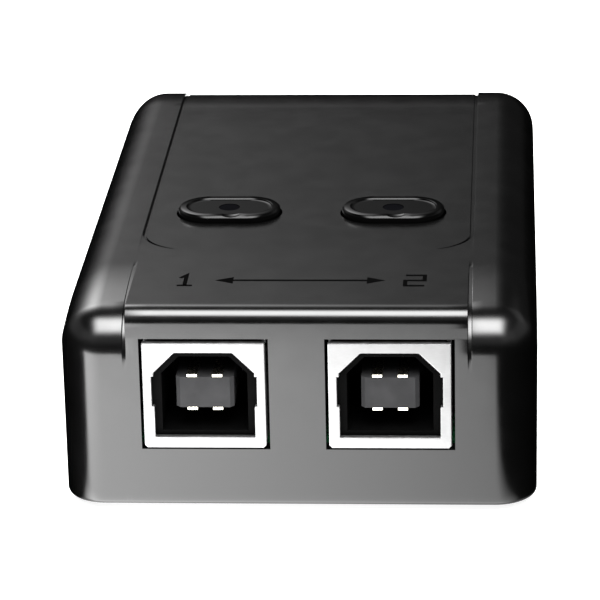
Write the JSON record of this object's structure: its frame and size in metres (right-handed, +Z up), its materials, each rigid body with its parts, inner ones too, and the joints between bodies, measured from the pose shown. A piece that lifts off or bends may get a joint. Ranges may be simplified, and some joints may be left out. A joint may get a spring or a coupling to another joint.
{
  "type": "usb sharing switch",
  "caption": "Small black box that switches a USB device between computers: type B sockets in front, press buttons on top and a type A socket at the back.",
  "frame": {"origin": "middle of the footprint, on the surface that the feet stand on", "axes": "+Z up, -Y towards the front with the type B sockets, +X to the right seen from the front"},
  "size_m": [0.047, 0.0768, 0.0223],
  "materials": {
    "case": "satin moulded ABS with a fine grain",
    "base": "fine moulded grain",
    "label": "plain satin film",
    "screws": "zinc plated",
    "feet": "smooth",
    "board": "green solder mask",
    "socket_shell": "bright tin plate",
    "socket_insulator_dark": "moulded, fine grain",
    "socket_insulator_light": "moulded, smooth",
    "contacts": "gold flash",
    "button": "polished",
    "button_window": "smoked, polished",
    "switch_body": "moulded",
    "switch_metal": "rolled, bright",
    "tinned_leads": "bright tin plate",
    "lamp_lens": "clear epoxy",
    "lamp_spacer": "moulded",
    "chip_body": "epoxy, fine grain",
    "crystal_can": "drawn, bright",
    "capacitor_sleeve": "shrunk sleeve",
    "resistor": "glazed",
    "ceramic": "fired ceramic"
  },
  "bodies": {
    "housing": {"top_cover": "case", "bottom_cover": "base", "base_label": "label", "case_screws": "screws", "foot_front_left": "feet", "foot_front_right": "feet", "foot_rear_left": "feet", "foot_rear_right": "feet", "main_board": "board", "usb_b_shell_left": "socket_shell", "usb_b_shell_right": "socket_shell", "usb_a_shell": "socket_shell", "usb_b_housing_left": "socket_insulator_dark", "usb_b_housing_right": "socket_insulator_dark", "usb_a_housing": "socket_insulator_light", "usb_b_contacts_left": "contacts", "usb_b_contacts_right": "contacts", "usb_a_contacts": "contacts", "tact_housing_left": "switch_body", "tact_housing_right": "switch_body", "tact_lid_left": "switch_metal", "tact_lid_right": "switch_metal", "tact_dome_left": "switch_metal", "tact_dome_right": "switch_metal", "tact_pins_left": "tinned_leads", "tact_pins_right": "tinned_leads", "lamp_leads_left": "tinned_leads", "lamp_leads_right": "tinned_leads", "main_chip_leads": "tinned_leads", "small_chip_leads": "tinned_leads", "lamp_left": "lamp_lens", "lamp_right": "lamp_lens", "lamp_spacer_left": "lamp_spacer", "lamp_spacer_right": "lamp_spacer", "main_chip_body": "chip_body", "small_chip_body": "chip_body", "crystal_can": "crystal_can", "capacitor_right": "capacitor_sleeve", "capacitor_left": "capacitor_sleeve", "chip_resistors": "resistor", "chip_capacitors": "ceramic"},
    "button_left": {"button_cap_left": "button", "button_window_left": "button_window", "tact_plunger_left": "switch_body"},
    "button_right": {"button_cap_right": "button", "button_window_right": "button_window", "tact_plunger_right": "switch_body"}
  },
  "joints": [
    {"name": "button_left_press", "type": "slide", "parent": "housing", "child": "button_left", "axis": [0, 0, -1], "range_m": [0, 0.0003], "stiffness_N_per_m": 2500, "springref_m": -0.0003, "deforming": ["tact_dome_left"]},
    {"name": "button_right_press", "type": "slide", "parent": "housing", "child": "button_right", "axis": [0, 0, -1], "range_m": [0, 0.0003], "stiffness_N_per_m": 2500, "springref_m": -0.0003, "deforming": ["tact_dome_right"]}
  ]
}
